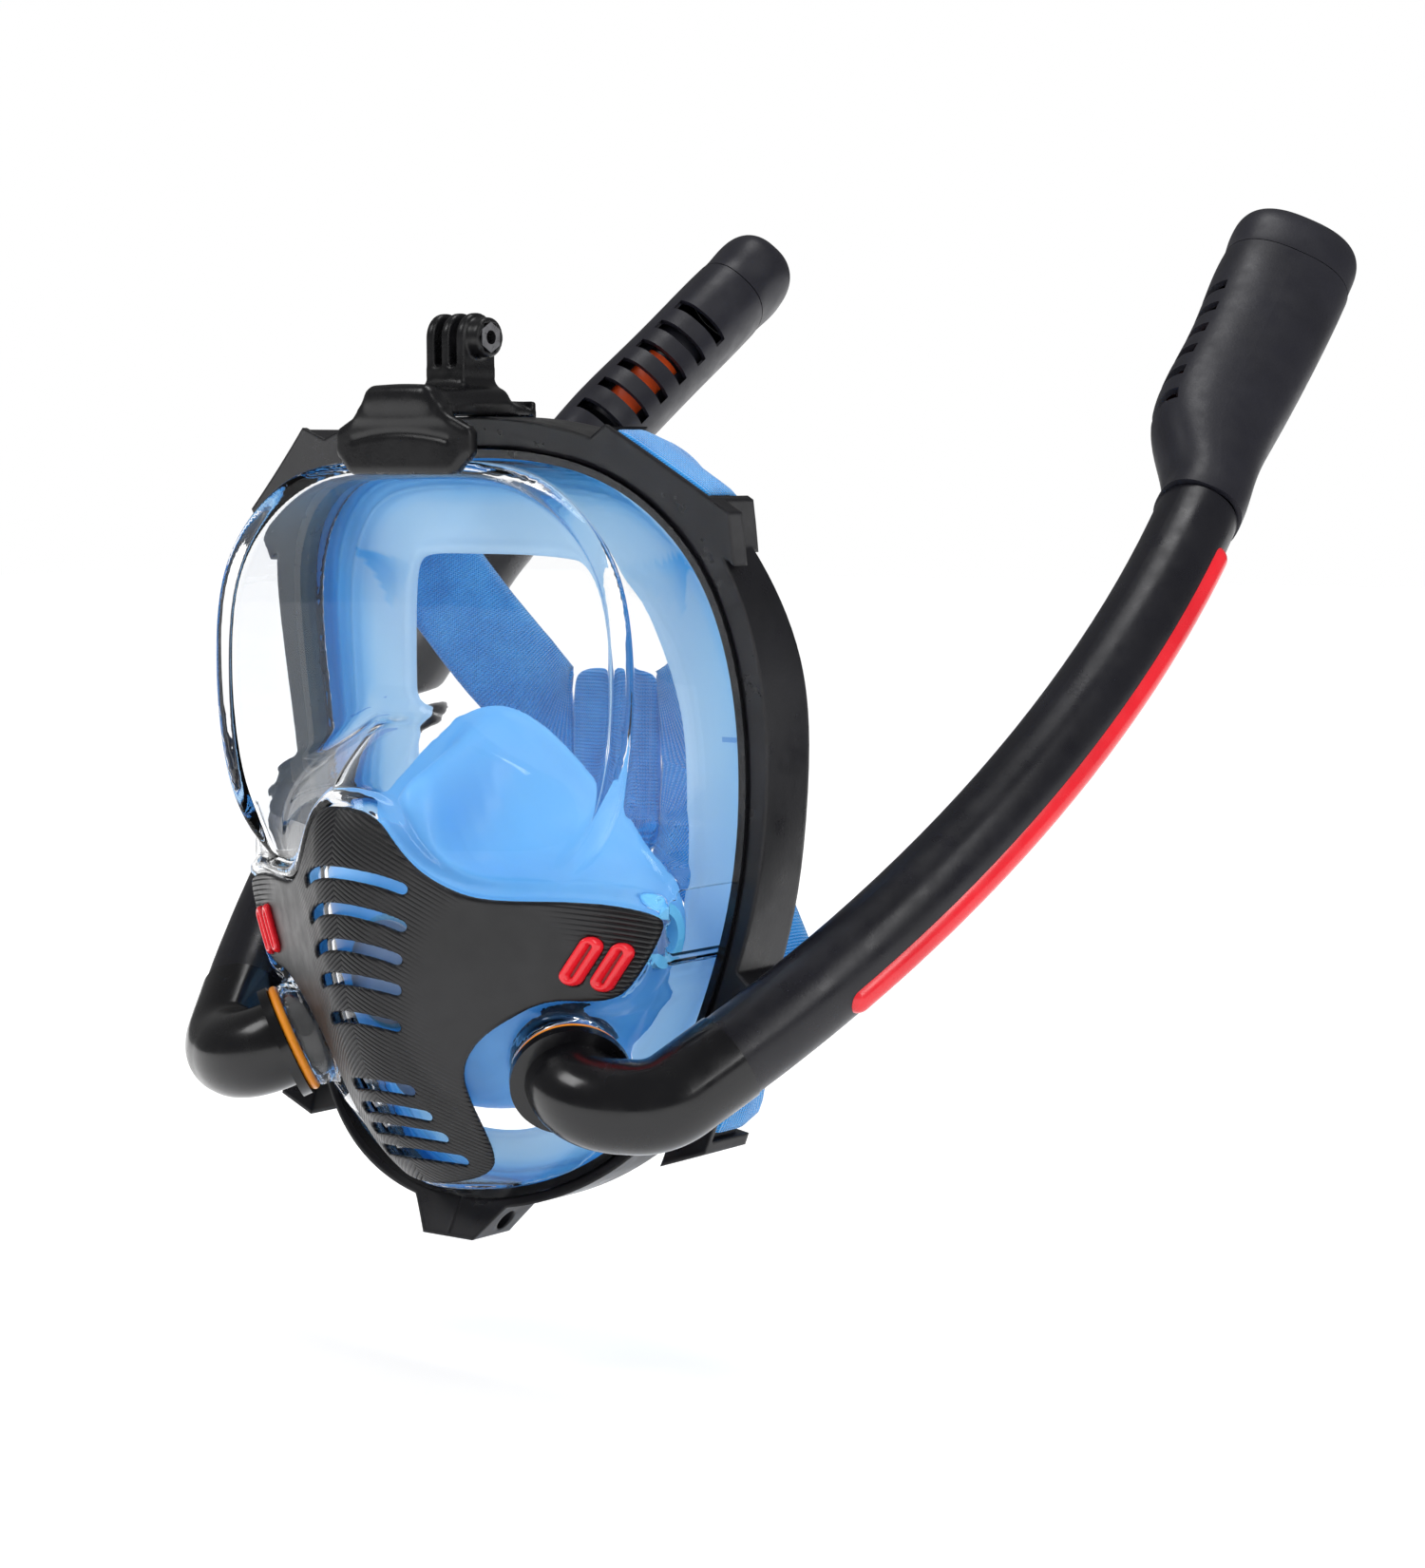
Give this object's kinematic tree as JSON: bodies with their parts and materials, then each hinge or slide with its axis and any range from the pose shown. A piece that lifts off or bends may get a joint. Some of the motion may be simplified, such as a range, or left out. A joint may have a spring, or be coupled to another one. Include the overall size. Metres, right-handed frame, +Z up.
{
  "type": "full face snorkel mask",
  "caption": "Full face snorkel mask with a clear arched lens, silicone skirt and nose cup, front grille, twin swept breathing tubes with float-valve tops and a camera fork.",
  "frame": {"origin": "centre of the opening that meets the face, on the plane of symmetry", "axes": "+Z up, +Y towards the wearer and the back of the head, -Y forwards through the lens, +X to the right seen from the front"},
  "size_m": [0.318, 0.3736, 0.321],
  "materials": {
    "frame_plastic": "satin black moulded plastic",
    "cover_plastic": "satin black with fine moulded ribs",
    "tube_plastic": "satin black",
    "head_plastic": "fine matte black",
    "clear_plastic": "clear polycarbonate, polished",
    "trim_grey": "dark grey",
    "red_plastic": "glossy red",
    "skirt_silicone": "translucent sky-blue silicone",
    "cup_silicone": "translucent saturated blue silicone",
    "valve_silicone": "milky silicone",
    "valve_plastic": "black",
    "orange_rubber": "orange silicone",
    "orange_plastic": "orange closed-cell float",
    "steel": "stainless",
    "strap_fabric": "woven elastic webbing, bright blue"
  },
  "bodies": {
    "mask": {"frame_left": "frame_plastic", "frame_right": "frame_plastic", "chin_screw": "steel", "trim_ring": "trim_grey", "lens": "clear_plastic", "grille_cover": "cover_plastic", "accent_rings_right": "red_plastic", "accent_rings_left": "red_plastic", "skirt": "skirt_silicone", "orinasal_cup": "cup_silicone", "exhale_seat": "valve_plastic", "purge_seat": "valve_plastic", "inhale_right_seat": "valve_plastic", "inhale_left_seat": "valve_plastic", "strap_upper_right": "strap_fabric", "strap_upper_left": "strap_fabric", "strap_lower_right": "strap_fabric", "strap_lower_left": "strap_fabric", "strap_pad": "strap_fabric"},
    "camera_clip": {"camera_mount": "frame_plastic", "mount_nut": "steel"},
    "exhale_flap": {"exhale_disc": "valve_silicone"},
    "purge_flap": {"purge_disc": "valve_silicone"},
    "inhale_flap_right": {"inhale_right_disc": "valve_silicone"},
    "inhale_flap_left": {"inhale_left_disc": "valve_silicone"},
    "snorkel_right": {"elbow_right": "tube_plastic", "port_ring_right": "orange_rubber", "tube_right": "tube_plastic", "stripe_right": "red_plastic", "head_right": "head_plastic", "cap_right": "head_plastic", "float_cage_right": "valve_plastic"},
    "float_right_body": {"float_right": "orange_plastic", "float_seal_right": "valve_silicone"},
    "snorkel_left": {"elbow_left": "tube_plastic", "port_ring_left": "orange_rubber", "tube_left": "tube_plastic", "stripe_left": "red_plastic", "head_left": "head_plastic", "cap_left": "head_plastic", "float_cage_left": "valve_plastic"},
    "float_left_body": {"float_left": "orange_plastic", "float_seal_left": "valve_silicone"}
  },
  "joints": [
    {"name": "exhale_flap_lift", "type": "slide", "parent": "mask", "child": "exhale_flap", "axis": [0, -1, 0], "range_m": [0, 0.0015], "stiffness_N_per_m": 20, "springref_m": -0.001},
    {"name": "purge_flap_lift", "type": "slide", "parent": "mask", "child": "purge_flap", "axis": [0, -0.7673, -0.6413], "range_m": [0, 0.0012], "stiffness_N_per_m": 20, "springref_m": -0.001},
    {"name": "inhale_flap_lift_right", "type": "slide", "parent": "mask", "child": "inhale_flap_right", "axis": [-1, 0, 0], "range_m": [0, 0.0012], "stiffness_N_per_m": 20, "springref_m": -0.001},
    {"name": "inhale_flap_lift_left", "type": "slide", "parent": "mask", "child": "inhale_flap_left", "axis": [1, 0, 0], "range_m": [0, 0.0012], "stiffness_N_per_m": 20, "springref_m": -0.001},
    {"name": "camera_clip_pull", "type": "slide", "parent": "mask", "child": "camera_clip", "axis": [0, 0, 1], "range_m": [0, 0.03]},
    {"name": "port_swivel_right", "type": "hinge", "parent": "mask", "child": "snorkel_right", "pos_m": [0.055, -0.042, -0.073], "axis": [0.6484, -0.6484, -0.399], "range_deg": [-4, 12]},
    {"name": "float_rise_right", "type": "slide", "parent": "snorkel_right", "child": "float_right_body", "axis": [-0.1733, 0.7599, 0.6266], "range_m": [0, 0.012]},
    {"name": "port_swivel_left", "type": "hinge", "parent": "mask", "child": "snorkel_left", "pos_m": [-0.055, -0.042, -0.073], "axis": [-0.6484, -0.6484, -0.399], "range_deg": [-12, 4]},
    {"name": "float_rise_left", "type": "slide", "parent": "snorkel_left", "child": "float_left_body", "axis": [0.1733, 0.7599, 0.6266], "range_m": [0, 0.012]}
  ]
}
